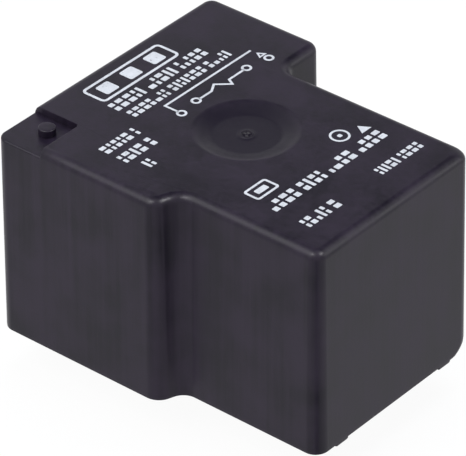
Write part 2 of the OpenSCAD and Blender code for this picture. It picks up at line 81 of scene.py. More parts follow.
print("CAD model's box in mm:", *(np.round(np.array(corner) / MM, 2) for corner in cad_box))

# %% [markdown]
# ## Camera
#
# The photo was taken from far away with a long lens, a little above the object, so its upright edges stay
# nearly parallel. The camera's place, direction and focal length were worked out from the case's corners in
# the photo. Building the camera first means that every later look at the render can be laid over the photo.

# %% Camera
PHOTO_W = 466
focal_px = 4406.86
sensor_w = 36.0
view_azimuth = math.radians(40.36)
view_elevation = math.radians(34.464)
view_roll = math.radians(-0.665)
camera_place = np.array([192.221, -228.671, 214.910])


def camera_axes(azimuth, elevation, roll):
    """Right, up and back directions: back points from the object to the camera, and roll turns the other two
    about it."""
    flat_right = np.array([math.cos(azimuth), math.sin(azimuth), 0.0])
    back = np.array([
        math.sin(azimuth) * math.cos(elevation),
        -math.cos(azimuth) * math.cos(elevation),
        math.sin(elevation),
    ])
    upright = np.cross(back, flat_right)
    right = flat_right * math.cos(roll) + upright * math.sin(roll)
    return right, np.cross(back, right), back


lens = bpy.data.cameras.new("camera")
lens.sensor_width = sensor_w
lens.lens = focal_px * sensor_w / PHOTO_W
lens.clip_start = 0.01
lens.clip_end = 10.0
camera = bpy.data.objects.new("camera", lens)
bpy.context.scene.collection.objects.link(camera)
camera_pose = np.eye(4)
camera_pose[:3, :3] = np.array(camera_axes(view_azimuth, view_elevation, view_roll)).T
camera_pose[:3, 3] = camera_place * MM
camera.matrix_world = Matrix(camera_pose.tolist())
bpy.context.scene.camera = camera
print("camera's lens:", round(lens.lens, 1), "mm")

# %% [markdown]
# ## Helpers for surfaces
#
# Every new surface below is a stack of rings: lines with the same number of points, one after the other.
# Neighbouring rings are joined by four-sided faces. Flat regions that the rings leave open, such as the top
# around its round dish, are filled with triangles between an outer line and the holes in it. All of it is
# collected in one list of points, and points that coincide are merged at the end, which closes the mesh.

# %% Mesh helpers
merge_gap = 0.0004
square = np.array([[-1, -1], [1, -1], [1, 1], [-1, 1]])


def level(line, z):
    """A flat line of points at one height."""
    line = np.asarray(line, float)
    return np.column_stack([line[:, :2], np.full(len(line), float(z))])


class Shell:
    """Collects points and faces in millimetres, and makes one closed mesh of them."""

    def __init__(self):
        self.points, self.faces, self.count = [], [], 0

    def add(self, points, faces):
        """Keeps the points, and moves the faces' numbers past those of earlier points."""
        self.points.append(np.asarray(points, float))
        self.faces.extend((np.asarray(faces) + self.count).tolist())
        self.count += len(points)

    def rings(self, rings, closed=True):
        """Joins ring k to ring k + 1. Faces look to the side given by the ring's direction times the way from
        one ring to the next, so rings that run anticlockwise and climb look outwards."""
        rings = np.asarray(rings, float)
        m, n = rings.shape[:2]
        number = np.arange(m * n).reshape(m, n)
        ahead = np.roll(number, -1, axis=1)
        if not closed:
            number, ahead = number[:, :-1], ahead[:, :-1]
        quads = np.stack([number[:-1], ahead[:-1], ahead[1:], number[1:]], axis=-1).reshape(-1, 4)
        self.add(rings.reshape(-1, 3), quads)

    def cap(self, outer, holes=(), up=True):
        """Fills the level region between one outer line and the holes in it, facing up or down. A triangle's
        turn is the cross product of two of its sides, and tells which way it faces."""
        lines = [np.asarray(line, float) for line in [outer, *holes]]
        points = np.vstack(lines)
        faces = np.array(tessellate_polygon([line.tolist() for line in lines]))
        a, b, c = (points[faces[:, k], :2] for k in range(3))
        ab, ac = b - a, c - a
        turn = (ab[:, 0] * ac[:, 1] - ab[:, 1] * ac[:, 0]) * (1 if up else -1)
        faces[turn < 0] = faces[turn < 0][:, ::-1]
        self.add(points, faces)

    def disc(self, radii, heights, centre, turns=96, up=True):
        """A round surface about an upright axis: ring k has radius radii[k] and height heights[k]. Returns
        the rings, whose ends serve as holes in caps."""
        angle = np.arange(turns) * 2 * math.pi / turns * (1 if up else -1)
        circle = np.stack([np.cos(angle), np.sin(angle)], axis=-1)
        rings = np.zeros((len(radii), turns, 3))
        rings[:, :, :2] = np.asarray(radii, float)[:, None, None] * circle + np.asarray(centre, float)
        rings[:, :, 2] = np.asarray(heights, float)[:, None]
        self.rings(rings)
        return rings

    def slab(self, outer, holes, low, high):
        """A flat piece between two heights: walls round the outer line and the holes, and a cap at each end.
        The outer line runs anticlockwise and the holes run clockwise."""
        for line in [outer, *holes]:
            self.rings([level(line, low), level(line, high)])
        self.cap(level(outer, high), [level(hole, high) for hole in holes])
        self.cap(level(outer, low), [level(hole, low) for hole in holes], up=False)

    def make(self, name, body, sharp_angle=35.0):
        """Writes the mesh in metres, merges points that coincide, and smooths all but the sharp edges."""
        mesh = bpy.data.meshes.new(name)
        mesh.from_pydata((np.vstack(self.points) * MM).tolist(), [], self.faces)
        tool = bmesh.new()
        tool.from_mesh(mesh)
        bmesh.ops.remove_doubles(tool, verts=tool.verts, dist=merge_gap * MM)
        open_edges = sum(len(edge.link_faces) != 2 for edge in tool.edges)
        volume = tool.calc_volume(signed=True) / MM**3
        tool.to_mesh(mesh)
        tool.free()
        mesh.shade_smooth()
        mesh.set_sharp_from_angle(angle=math.radians(sharp_angle))
        piece = bpy.data.objects.new(name, mesh)
        bpy.context.scene.collection.objects.link(piece)
        if body:
            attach(piece, body)
        print(f"{name}: {len(mesh.polygons)} faces, {open_edges} open edges, {volume:.2f} mm3")
        return piece


def steady(piece):
    """Lets large flat faces set the shading at their edges, so that a flat stays flat beside a round edge."""
    weighted = piece.modifiers.new("flats_stay_flat", "WEIGHTED_NORMAL")
    weighted.mode = "FACE_AREA"
    weighted.keep_sharp = True
    weighted.weight = 100


# %% [markdown]
# ## The case's plan
#
# The case is one drafted moulding. Its plan is a T: a wide end, two steps and a narrow end. As the outline
# moves in by an inset, the outside corners get tighter and the inside corners get wider, so the wall stays
# even. The Bevel modifier could round an extruded T, but not with corners that change as the wall goes in.
# So the outline is worked out for any inset, and the same rule makes the outer face, the round upper edge
# and the hollow.
#
# Three things keep the plan from being a plain T. The outer wall of the shallow step slants a little, and
# its two corners are softer than the others. One corner of the narrow end is rounder close to the rim and
# the top. And one corner of the wide end is cut down for the vent, so the outline also has marks where that
# recess starts and ends, with a small round lip.

# %% Sizes of the case
cover_low, cover_high = (np.array(corner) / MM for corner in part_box("cover"))
half_l, half_w, top_z = cover_high
foot_h = 0.35
rim_z = cover_low[2] + foot_h
shallow_jog_at, shallow_step = 17.7, 2.46
deep_jog_at, deep_step = 12.6, 5.0
shallow_jog_x, stem_low_y = -half_l + shallow_jog_at, -half_w + shallow_step
deep_jog_x, stem_high_y = -half_l + deep_jog_at, half_w - deep_step
mid_y = (stem_low_y + stem_high_y) / 2
edge_r, jog_r, top_r, rim_r = 1.3, 1.1, 0.8, 0.12
draft = math.tan(math.radians(0.67))
wall_t, top_t, ceiling_r, inner_edge_r, step_flat = 1.1, 1.2, 0.4, 0.25, 0.05
print("case:", round(2 * half_l, 2), "x", round(2 * half_w, 2), "x", round(top_z - rim_z, 2), "mm")

# %% Sizes of the softer corners, the vent corner and the crease
step_slant, soft_step_r = math.radians(20), (1.6, 1.4)
rounder_corner, rounder, rounder_h = 4, 1.2, 1.2
notch_l, notch_w, notch_h = 5.05, 5.0, 0.7
notch_x, notch_y, notch_floor_z = -half_l + notch_l, -half_w + notch_w, top_z - notch_h
notch_edge_r, notch_corner_r, notch_lip = 0.2, 0.3, 0.1
lip_out = np.array([0.0, 0.29, 1.0]) * notch_lip
lip_drop = lip_out[::-1]
crease_depth, crease_low_z, crease_high_z = 0.008, 1.5, 7.0
print("vent corner:", notch_l, "x", notch_w, "x", notch_h, "mm")


# %% Corners of the plan
def corners_at(i, slant=0.0):
    """The eight corners of the T, moved inwards by the inset i and taken anticlockwise. The wall of the
    shallow step may slant: its ends then lean apart, and its inset in X is i times the tangent of half its
    turn."""
    step_x = shallow_jog_x - i * math.tan(math.pi / 4 - slant / 2)
    lean = (stem_low_y + half_w) / 2 * math.tan(slant)
    return np.array([
        [-half_l + i, -half_w + i], [step_x - lean, -half_w + i],
        [step_x + lean, stem_low_y + i], [half_l - i, stem_low_y + i],
        [half_l - i, stem_high_y - i], [deep_jog_x - i, stem_high_y - i],
        [deep_jog_x - i, half_w - i], [-half_l + i, half_w - i],
    ])


def radii_at(inset, more, slant, side, side_l):
    """Radius at each corner. An outside corner loses the inset. An inside corner gains it, as far as the
    shorter of its two sides has room. The rounder corner gets more, and a slanted step has its own two."""
    outer_r = np.maximum(edge_r - inset + more * (np.arange(8) == rounder_corner), inner_edge_r)
    room = side_l - outer_r - step_flat
    r = np.where(side < 0, np.minimum(jog_r + inset, room), outer_r)
    if slant:
        r[1:3] = soft_step_r[0] - inset, soft_step_r[1] + inset
    return r


print("corners of the plan:", len(corners_at(0.0)))

# %% Arcs of the plan
corner_steps = 14


def arcs_at(inset, more, slant):
    """An arc for each corner. It starts r times the tangent of half its turn before the corner, and goes from
    the normal n0 of the line that comes in to the normal n1 of the one that goes out:
    centre + r (sin(turn - t) n0 + sin(t) n1) / sin(turn), with t from nothing to the turn."""
    p = corners_at(inset, slant)
    back, ahead = p - np.roll(p, 1, axis=0), np.roll(p, -1, axis=0) - p
    back_l, ahead_l = np.linalg.norm(back, axis=1), np.linalg.norm(ahead, axis=1)
    come, go = back / back_l[:, None], ahead / ahead_l[:, None]
    side = np.sign(come[:, 0] * go[:, 1] - come[:, 1] * go[:, 0])
    r = radii_at(inset, more, slant, side, np.minimum(back_l, ahead_l))[:, None]
    side = side[:, None]
    first = -side * np.column_stack([-come[:, 1], come[:, 0]])
    final = -side * np.column_stack([-go[:, 1], go[:, 0]])
    turn = np.arccos(np.clip(np.sum(come * go, axis=1), -1, 1))[:, None]
    centre = p - r * np.tan(turn / 2) * come - r * first
    t = (turn * np.linspace(0, 1, corner_steps + 1))[:, :, None]
    turn = turn[:, :, None]
    arcs = (np.sin(turn - t) * first[:, None] + np.sin(t) * final[:, None]) / np.sin(turn)
    return centre[:, None] + r[:, None] * arcs


print("points on an arc:", corner_steps + 1)

# %% Outline of the case
straight_steps = 4
lip_n = len(lip_out)


def straight(a, b):
    """Even steps between two points, without the points themselves."""
    share = np.linspace(0, 1, straight_steps + 1)[1:-1, None]
    return a + (b - a) * share


def outline(inset, crease=0.0, more=0.0, slant=0.0):
    """The plan's line at an inset: the arcs with straight stretches between them, and the two marks of the
    recess, each with the points of its lip. Between the shallow step's two arcs the line steps in by the
    crease, where two parts of the mould met."""
    arcs = arcs_at(inset, more, slant)
    west, south = -half_l + inset, -half_w + inset
    notch_a, notch_b = np.array([[notch_x, south]]), np.array([[west, notch_y]])
    lip_a = np.column_stack([notch_x + lip_out, np.full(lip_n, south)])
    lip_b = np.column_stack([np.full(lip_n, west), notch_y + lip_out[::-1]])
    parts = [arcs[0], straight(arcs[0, -1], notch_a[0]), notch_a, lip_a, straight(lip_a[-1], arcs[1, 0])]
    for k in range(1, 7):
        between = straight(arcs[k, -1], arcs[k + 1, 0])
        between[:, 0] -= crease * (k == 1)
        parts += [arcs[k], between]
    parts += [arcs[7], straight(arcs[7, -1], lip_b[0]), lip_b, notch_b, straight(notch_b[0], arcs[0, 0])]
    return np.vstack(parts)


# %% Which points lie over the vent corner
arc_n, between_n = corner_steps + 1, straight_steps - 1
notch_first, notch_last = arc_n + between_n + 1, between_n + 1
top_n = len(outline(0.0)) - notch_first - notch_last
in_notch = np.concatenate([np.ones(notch_first), np.zeros(top_n), np.ones(notch_last)]).astype(bool)
lowered_by = np.zeros(len(in_notch))
lowered_by[notch_first:notch_first + lip_n] = lip_drop
lowered_by[-notch_last - lip_n:-notch_last] = lip_drop[::-1]
print("points round the outline:", len(in_notch), "of which over the notch:", int(in_notch.sum()))

# %% [markdown]
# ## The case's skin
#
# One stack of rings makes the whole moulding: from the ceiling down the inner walls, across the rim, up the
# outer walls and over the round upper edge. A profile gives each ring its height and inset. Over the vent
# corner the outline follows a second profile, which turns in lower down and with a smaller radius. Cutting
# the corner out of a finished block would be quicker, but a cut leaves no lip and an uneven mesh.

# %% Profiles of the case
fillet_steps, lip_fade_steps = 12, 3
highest_level_down = 0.9
wall_levels = np.array(
    [0.6, 0.85, 1.15, 1.6, 3.0, 5.0, 7.0, 10.0, 13.0, 16.0, 18.0, top_z - highest_level_down],
)
quarter = np.linspace(0, math.pi / 2, fillet_steps + 1)


def drawn(z):
    """Inset of the drafted outer wall at a height."""
    return (z - rim_z) * draft


edge_inset = drawn(top_z - top_r) + top_r


def top_profile(lowered):
    """Heights and insets of the round upper edge: a quarter circle whose radius is less by what the lip is
    lowered, which starts from nothing at the wall."""
    start_z = top_z - top_r
    r = top_r - lowered * np.clip(np.arange(fillet_steps + 1) / lip_fade_steps, 0, 1)
    return start_z + r * np.sin(quarter), drawn(start_z) + top_r - r * np.cos(quarter)


def notch_profile():
    """Heights and insets over the vent corner: a small quarter circle up to the notch's floor, then flat."""
    start_z = notch_floor_z - notch_edge_r
    turn = quarter[1:]
    z = np.append(start_z + notch_edge_r * np.sin(turn), notch_floor_z)
    return z, np.append(drawn(start_z) + notch_edge_r * (1 - np.cos(turn)), edge_inset)


def crease_at(z):
    """The crease runs out towards the rim along a smooth step: s s (3 - 2 s) of the share s of the way."""
    share = np.clip((z - crease_low_z) / (crease_high_z - crease_low_z), 0, 1)
    return crease_depth * share * share * (3 - 2 * share)


print("the top's edge lies in by:", round(edge_inset, 3), "mm")

# %% Inner wall, rim and outer wall
inner_mid_z = 10.0
ceiling_z, ceiling_turn = top_z - top_t, quarter[::-3]
inner_z = np.concatenate([ceiling_z - ceiling_r + ceiling_r * np.sin(ceiling_turn), [inner_mid_z, rim_z]])
inner_inset = wall_t + np.concatenate([
    drawn(ceiling_z - ceiling_r) + ceiling_r * (1 - np.cos(ceiling_turn)), drawn(inner_z[-2:]),
])
rings = [level(outline(i), z) for z, i in zip(inner_z, inner_inset)]

rim_turn = np.linspace(0, math.pi / 2, 4)[:-1]
lower_z = np.concatenate([rim_z + rim_r * (1 - np.cos(rim_turn)), wall_levels])
lower_inset = np.concatenate([rim_r * (1 - np.sin(rim_turn)), drawn(wall_levels)])
rounder_low = rounder * np.clip(1 - (lower_z - rim_z) / rounder_h, 0, 1) ** 2
rings += [
    level(outline(i, crease_at(z), more, step_slant), z)
    for z, i, more in zip(lower_z, lower_inset, rounder_low)
]
print("rings up to the round upper edge:", len(rings))

# %% Round upper edge
over_notch_z, over_notch_inset = notch_profile()
lips = {value: top_profile(value) for value in lip_out}
for k in range(fillet_steps + 1):
    ring = level(outline(over_notch_inset[k]), over_notch_z[k])
    upright = math.cos(quarter[k])
    for value, (z, inset) in lips.items():
        here = ~in_notch & (lowered_by == value)
        line = outline(inset[k], crease_at(z[k]) * upright, rounder * (1 - upright), step_slant)
        ring[here] = level(line, z[k])[here]
    rings.append(ring)

case = Shell()
case.rings(rings)
print("rings of the case:", len(rings))

# %% [markdown]
# ## The vent corner, the dish and the feet
#
# The notch has two upright walls that meet in a tight round corner, and its floor carries a small nib level
# with the top. The dish in the middle of the top is a surface of revolution: its wall is a shallow cone with
# a short round bend at each end, so it leaves the top and meets the floor without an edge. In its centre is
# the rough ring left by the gate, where the plastic flowed in. Notch, nib and dish each end in a line that is
# used again as the edge of the flat beside it, which joins them without a cut. Four small feet under the rim
# hold the case off the board.

# %% Vent corner's wall
notch_turn = np.linspace(0, math.pi / 2, 9)


def notch_path(out):
    """The notch's wall seen from above, moved out of the recess by a distance: from its west end along the
    wall, round the corner, and south to its other end."""
    c = np.array([notch_x, notch_y]) - notch_corner_r
    r = notch_corner_r + out
    arc = c + r * np.column_stack([np.sin(notch_turn), np.cos(notch_turn)])
    west_end, south_end = [-half_l + edge_inset, notch_y + out], [notch_x + out, -half_w + edge_inset]
    return np.vstack([west_end, arc, south_end])


case.rings([
    level(notch_path(0.0), notch_floor_z),
    *[level(notch_path(out), top_z - down) for out, down in zip(lip_out, lip_drop)],
], closed=False)
print("points along the notch's wall:", len(notch_path(0.0)))

# %% Nib and floor of the vent corner
nib_r, nib_round, nib_flat_r, nib_in = 0.74, 0.12, 0.3, 3.2
nib_turn = np.linspace(0, math.pi / 2, 6)
nib_rim = case.disc(
    np.concatenate([[nib_r], nib_r - nib_round * (1 - np.cos(nib_turn)), [nib_flat_r, 0.0]]),
    np.concatenate([[notch_floor_z], top_z - nib_round * (1 - np.sin(nib_turn)), [top_z, top_z]]),
    np.array([-half_l, -half_w]) + nib_in, turns=48,
)
top_ring = rings[-1]
floor_back = level(notch_path(0.0)[::-1][1:-1], notch_floor_z)
case.cap(np.vstack([top_ring[-notch_last:], top_ring[:notch_first], floor_back]), [nib_rim[0][::-1]])
print("nib:", 2 * nib_r, "mm across,", notch_h, "mm high")

# %% Dish and gate mark
dish_centre = np.array([0.0, mid_y / 2])
dish_r, dish_floor_r, dish_h, dish_bend = 4.6, 2.7, 0.5, 0.2
wall_share = np.linspace(0, 1, 25)
dish_wall_r = dish_r + (dish_floor_r - dish_r) * wall_share
bent = np.minimum(wall_share, 1 - wall_share)
sunk = np.where(bent < dish_bend, bent**2 / (2 * dish_bend), bent - dish_bend / 2) / (1 - dish_bend)
dish_wall_z = top_z - dish_h * np.where(wall_share < 0.5, sunk, 1 - sunk)
gate_r = np.array([2.0, 1.0, 0.68, 0.62, 0.56, 0.48, 0.42, 0.36, 0.30, 0.20, 0.13, 0.07, 0.0])
gate_up = np.array([0.0, 0.0, 0.0, 0.03, 0.09, 0.11, 0.08, -0.05, -0.10, -0.10, 0.0, 0.03, 0.03])
dish_rim = case.disc(
    np.concatenate([dish_wall_r, gate_r]),
    np.concatenate([dish_wall_z, top_z - dish_h + gate_up]),
    dish_centre, turns=128,
)
print("dish:", 2 * dish_r, "mm across at the top,", 2 * dish_floor_r, "mm at its floor")

# %% Flat top and ceiling
boss_h = 0.55
top_line = np.vstack([top_ring[notch_first + 2:-notch_last - 2], level(notch_path(notch_lip)[1:-1], top_z)])
case.cap(top_line, [dish_rim[0][::-1]])
boss_z = ceiling_z - boss_h
boss_rim = case.disc([dish_r, dish_r, 0.0], [ceiling_z, boss_z, boss_z], dish_centre, turns=64, up=False)
case.cap(rings[0], [boss_rim[0]], up=False)
print("plastic under the dish:", round(top_z - dish_h - boss_z, 2), "mm")

# %% Feet
foot_w, foot_l, foot_in, foot_round, foot_corner_r = 1.6, 1.0, 0.1, 0.25, 0.1
narrow_pitch, wide_pitch = 13.4, 18.0
foot_places = [(half_l - foot_in - foot_l / 2, mid_y + side * narrow_pitch / 2) for side in (-1, 1)]
foot_places += [(-half_l + foot_in + foot_l / 2, mid_y + side * wide_pitch / 2) for side in (-1, 1)]


def rounded_box(centre, length, width, r, steps=4):
    """A rectangle's line with round corners, anticlockwise: four arcs about the corners moved in by r."""
    t = np.linspace(0, math.pi / 2, steps + 1)[None, :] + np.arange(4)[:, None] * math.pi / 2 - math.pi
    c = np.asarray(centre) + square * (np.array([length, width]) / 2 - r)
    return (c[:, None] + r * np.stack([np.cos(t), np.sin(t)], axis=-1)).reshape(-1, 2)


foot_turn = np.linspace(0, math.pi / 2, 7)
foot_less = np.append(foot_round * (1 - np.sin(foot_turn)), 0)
foot_z = np.append(cover_low[2] + foot_round * (1 - np.cos(foot_turn)), rim_z + foot_in)
for place in foot_places:
    foot_rings = [
        level(rounded_box(place, foot_l - less, foot_w - 2 * less, foot_corner_r), z)
        for less, z in zip(foot_less, foot_z)
    ]
    case.rings(foot_rings)
    case.cap(foot_rings[0], up=False)
    case.cap(foot_rings[-1])
print("feet:", len(foot_places))

# %% The finished moulding
cover = case.make("moulded_case", "relay")
steady(cover)
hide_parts("cover")

# %% [markdown]
# ## Ink on the top
#
# White ink lies on the plastic as a film of about a hundredth of a millimetre. The wiring sign is a drawing
# sign that any relay of this kind carries: a coil between two circles, and a contact drawn as a line with an
# arrow. Beside it lie rows of small upright blocks and a few plain shapes: frames, squares, a ring and a
# triangle. All of it could be painted into the plastic's colour with a mask, but ink has an edge and a
# thickness of its own and takes the light in its own way, so each mark is a thin slab.

# %% Ink shapes
ink_root, ink_t = 0.02, 0.012
ink_low_z, ink_high_z = top_z - ink_root, top_z + ink_t
ink = Shell()


def put_ink(outer, holes=()):
    """A slab of ink from just below the plastic's surface to the top of the film."""
    ink.slab(outer, holes, ink_low_z, ink_high_z)


def stroke(points, width):
    """Outline of a bent line of even width: each point moves sideways by half the width along the bisector,
    and by more at a sharper bend so that the sides stay parallel."""
    p = np.asarray(points, float)
    along = np.diff(p, axis=0)
    along /= np.linalg.norm(along, axis=1)[:, None]
    before, after = np.vstack([along[:1], along]), np.vstack([along, along[-1:]])
    side = np.column_stack([-(before + after)[:, 1], (before + after)[:, 0]])
    normal = np.column_stack([-after[:, 1], after[:, 0]])
    side *= (width / 2 / np.sum(side * normal, axis=1))[:, None]
    return np.vstack([p - side, (p + side)[::-1]])


def circle_line(centre, r, turns=40):
    """Points of a circle, anticlockwise."""
    t = np.arange(turns) * 2 * math.pi / turns
    return np.asarray(centre) + r * np.column_stack([np.cos(t), np.sin(t)])


def put_ring(centre, r, width):
    """A ring of ink whose line has its middle at the radius r."""
    put_ink(circle_line(centre, r + width / 2), [circle_line(centre, r - width / 2)[::-1]])


def put_block(low_x, high_x, low_y, high_y, hollow=0.0, r=0.1):
    """A block with round corners, from its extent in X and Y. With a hollow it is a frame of that line
    width."""
    centre = ((low_x + high_x) / 2, (low_y + high_y) / 2)
    size = np.array([high_x - low_x, high_y - low_y])
    holes = [rounded_box(centre, *(size - 2 * hollow), r / 2)[::-1]] if hollow else []
    put_ink(rounded_box(centre, *size, r), holes)


print("film of ink:", ink_t, "mm above the plastic")

# %% Wiring sign
sign_line_w, sign_ring_r, arrow_hollow = 0.21, 0.36, 0.42
sign_rings = {
    "common": (-5.65, -2.12), "coil_a": (-5.96, 0.06), "coil_b": (-5.96, 6.49), "open": (-5.53, 8.86),
}
contact_line = [(-6.0, -2.13), (-7.42, -2.15), (-7.43, 8.76)]
coil_line = [(-5.92, 0.42), (-5.9, 1.94), (-6.43, 2.86), (-5.28, 3.86), (-5.94, 4.22), (-5.95, 6.13)]
arrow = np.array([(-6.86, 8.80), (-6.1, 8.34), (-6.1, 9.28)])

for centre in sign_rings.values():
    put_ring(centre, sign_ring_r, sign_line_w)
for line in (contact_line, coil_line):
    put_ink(stroke(line, sign_line_w))
arrow_middle = arrow.mean(axis=0)
put_ink(arrow, [(arrow_middle + (arrow - arrow_middle) * arrow_hollow)[::-1]])
print("circles of the wiring sign:", len(sign_rings))

# %% Rows of blocks
rng = np.random.default_rng(7)
block_rows = (
    (-11.1, -9.85, -5.1, 7.0, 5),
    (-9.25, -8.2, -4.9, 7.6, 7),
    (-7.4, -6.3, -10.4, -5.9, 5),
    (-5.5, -4.3, -10.4, -6.5, 4),
    (-3.5, -2.4, -9.7, -8.6, 5),
    (8.1, 9.4, -8.2, 6.3, 4),
    (11.6, 12.8, -8.2, -4.1, 5),
    (11.6, 12.6, 1.2, 6.5, 5),
)
block_widths, least_room, block_r = (0.26, 0.42, 0.54), 0.3, 0.06
tall_block_w, lower_block_h, upper_block_h = 0.24, 0.42, 0.38
block_gap, group_gap = 0.22, 0.5


def row_of_blocks(low_x, high_x, low_y, high_y, group):
    """A row of small blocks from low_y to high_y that share the line at high_x: some tall, some short, and
    some two on top of each other. A wider gap follows each group. Sizes and gaps are shares of the height."""
    tall = high_x - low_x
    y, count = low_y, 0
    while y + least_room * tall < high_y:
        kind, wide = rng.integers(5), tall * rng.choice(block_widths)
        end = min(y + wide, high_y)
        if kind == 0:
            end = y + tall_block_w * tall
            put_block(low_x, high_x, y, end, r=block_r)
        else:
            put_block(high_x - lower_block_h * tall, high_x, y, end, r=block_r)
            if kind > 1:
                put_block(low_x, low_x + upper_block_h * tall, y, end, r=block_r)
        count += 1
        y = end + tall * (group_gap if count % group == 0 else block_gap)
    return count


print("places in the rows:", sum(row_of_blocks(*row) for row in block_rows))

# %% Frames, squares, ring and triangle
wide_frame, narrow_frame = (-14.2, -11.55, -4.9, 4.7), (5.6, 7.3, -7.9, -5.2)
square_side, square_lows = 1.5, (-3.8, -0.85, 2.1)
ring_centre, ring_r, ring_line_w = (6.4, 3.4), 0.78, 0.2
triangle = [(6.6, 5.4), (7.6, 4.8), (7.6, 6.0)]

put_block(*wide_frame, hollow=0.26, r=0.5)
for low_y in square_lows:
    put_block(-13.6, -12.15, low_y, low_y + square_side, r=0.2)
put_block(*narrow_frame, hollow=0.22, r=0.3)
put_block(6.15, 6.75, -7.2, -5.9)
put_ring(ring_centre, ring_r, ring_line_w)
put_block(6.2, 6.6, 3.2, 3.6)
put_ink(triangle)
printed = ink.make("printed_marks", "relay", sharp_angle=60)

# %% [markdown]
# ## Resin under the base
#
# Once the mechanism is in, the case is turned over and black resin is poured in round the pins. While it is
# still liquid it climbs a little at the walls and at each pin, and it sets like that. So the resin's lower
# face is flat in the middle and curls towards the rim and the pins. The curl is a short parabola, and the
# rings that carry it follow the outline of the wall or of the pin. A displaced grid would need very small
# faces all over for the same curl. The hole round a coil pin widens inside for the ring on the pin.

# %% Resin's curl at the wall
seal_low, seal_high = (np.array(corner)[2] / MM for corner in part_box("seal"))
climb, climb_reach = 0.15, 0.25
away = np.array([climb_reach, 0.18, 0.12, 0.07, 0.03, 0.0])
resin = Shell()


def resin_z(distance):
    """Height of the resin's lower face: the climb times one minus the share of the reach, squared."""
    return seal_low - climb * (1 - np.clip(distance / climb_reach, 0, 1)) ** 2


wall_rings = [level(outline(wall_t + drawn(resin_z(d)) + d), resin_z(d)) for d in away]
wall_rings.append(level(outline(wall_t + drawn(seal_high)), seal_high))
resin.rings(wall_rings)
low_holes, high_holes = [], []
print("resin:", round(seal_high - seal_low, 2), "mm thick, and", climb, "mm of curl")

# %% Holes for the pins
coil_pin_r, flat_pin_t, flat_pin_w, flat_pin_r = 0.5, 0.8, 2.0, 0.02

for node in ("coil_pin_1", "coil_pin_2"):
    low, high = (np.array(corner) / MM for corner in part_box(node))
    ring_r = (high - low)[0] / 2
    hole = resin.disc(
        np.concatenate([coil_pin_r + away, [coil_pin_r, ring_r, ring_r]]),
        np.concatenate([resin_z(away), [seal_low, seal_low, seal_high]]),
        ((low + high) / 2)[:2], turns=48, up=False,
    )
    low_holes.append(hole[0])
    high_holes.append(hole[-1])
for node in ("com_terminal", "no_terminal"):
    low, high = (np.array(corner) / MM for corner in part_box(node))
    pin_x = (low + high)[0] / 2 if node == "com_terminal" else low[0] + flat_pin_t / 2
    sizes = [(flat_pin_t + 2 * d, flat_pin_w + 2 * d, flat_pin_r + d, resin_z(d)) for d in away]
    sizes.append((flat_pin_t, flat_pin_w, flat_pin_r, seal_high))
    hole = [level(rounded_box((pin_x, mid_y), length, width, r)[::-1], z) for length, width, r, z in sizes]
    resin.rings(hole)
    low_holes.append(hole[0])
    high_holes.append(hole[-1])
resin.cap(wall_rings[0], low_holes, up=False)
resin.cap(wall_rings[-1], high_holes)
seal = resin.make("sealing_resin", "relay")
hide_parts("seal")

# %% [markdown]
# ## Winding
#
# The coil is hundreds of turns of fine enamelled wire. Only the outermost turns can be seen, and they make a
# screw thread of half round ridges. A wire swept along a helix would hide most of its faces inside the coil.
# So the outer surface is a function of the angle and the height: a cylinder whose radius dips between two
# ridges, with the dip climbing by one wire for each full turn.

# %% Enamelled winding
coil_low, coil_high = (np.array(corner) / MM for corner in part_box("winding"))
coil_middle = (coil_low + coil_high) / 2
coil_r = (coil_high - coil_low)[0] / 2
barrel_r, wire_d, wire_steps, angle_steps = 3.6, 0.3, 8, 120


def wound_radius(angle, z):
    """Outer radius less half a wire, plus half a wire times the height of a unit circle at the way across
    it."""
    across = 2 * ((z / wire_d - angle / (2 * math.pi)) % 1) - 1
    return coil_r - wire_d / 2 + wire_d / 2 * np.sqrt(np.clip(1 - across * across, 0, 1))


angle = np.arange(angle_steps) * 2 * math.pi / angle_steps
z = np.linspace(coil_low[2], coil_high[2], int((coil_high - coil_low)[2] / wire_d * wire_steps) + 1)
radius = wound_radius(angle[None, :], z[:, None])
radius = np.vstack([radius, np.full((2, angle_steps), barrel_r), radius[:1]])
z = np.concatenate([z, [z[-1], z[0], z[0]]])
wound = Shell()
wound.rings(np.stack([
    coil_middle[0] + radius * np.cos(angle),
    coil_middle[1] + radius * np.sin(angle),
    np.broadcast_to(z[:, None], radius.shape),
], axis=-1))
winding = wound.make("enamelled_winding", "relay", sharp_angle=75)
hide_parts("winding")

# %% [markdown]
# ## Hinge leaf
#
# The armature has no pin to turn on. Its edge rests on the yoke, and a thin leaf spring holds it there: the
# leaf is riveted to the armature, loops round behind the edge and is riveted to the yoke's back. It bends
# when the armature moves, while the CAD model's leaf is a rigid solid. So it is made again here as a strip
# carried along a bent centre line, in even steps.

# %% Centre line of the leaf
hinge = np.array(frame["joints"][0]["pos_m"]) / MM
swing = math.radians(3.6)
leaf_t, leaf_w, leaf_edge_r = 0.2, 7.0, 0.08
loop_r, loop_back, loop_back_l = 1.3, math.radians(35), 0.6
flap_reach, flap_up, leaf_down = 6.2, 1.71, 8.6
bend_steps, flat_steps = 18, 12


def walk(moves, place, heading):
    """A centre line: go straight, then turn on an arc about the point one radius to the side, and repeat."""
    line = [np.array([[*place, heading]])]
    for straight_l, turn, r in moves:
        way = np.linspace(0, straight_l, flat_steps + 1)[1:, None]
        x, y, heading = line[-1][-1]
        ahead = np.array([math.cos(heading), math.sin(heading)])
        line.append(np.column_stack([np.array([x, y]) + way * ahead, np.full(len(way), heading)]))
        if turn:
            side = math.copysign(r, turn)
            centre = line[-1][-1, :2] + side * np.array([-math.sin(heading), math.cos(heading)])
            h = heading + turn * np.linspace(0, 1, bend_steps + 1)[1:]
            line.append(np.column_stack([centre[0] + side * np.sin(h), centre[1] - side * np.cos(h), h]))
    return np.vstack(line)


